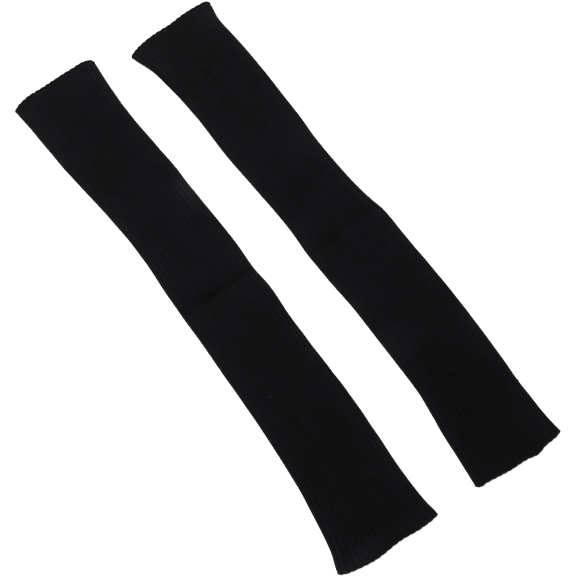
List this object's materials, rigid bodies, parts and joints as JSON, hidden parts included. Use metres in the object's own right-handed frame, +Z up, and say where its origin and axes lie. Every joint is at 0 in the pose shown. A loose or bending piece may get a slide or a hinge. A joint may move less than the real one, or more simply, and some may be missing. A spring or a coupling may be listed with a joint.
{
  "type": "pair of rib-knit arm warmers laid flat",
  "caption": "Long rib-knit tubes open at both ends, pressed flat and lying side by side, each with a fold mark across its middle and slightly flared hems.",
  "frame": {"origin": "under the middle of the pair, on the surface that it lies on", "axes": "+Z up through the two layers, +Y along the tubes towards the hand ends, +X across the pair to the right"},
  "size_m": [0.2314, 0.5238, 0.0063],
  "materials": {
    "knit": "matt black rib knit with a slight fuzz"
  },
  "bodies": {
    "root": {"arm_warmer_left": "knit", "arm_warmer_right": "knit"}
  },
  "joints": []
}
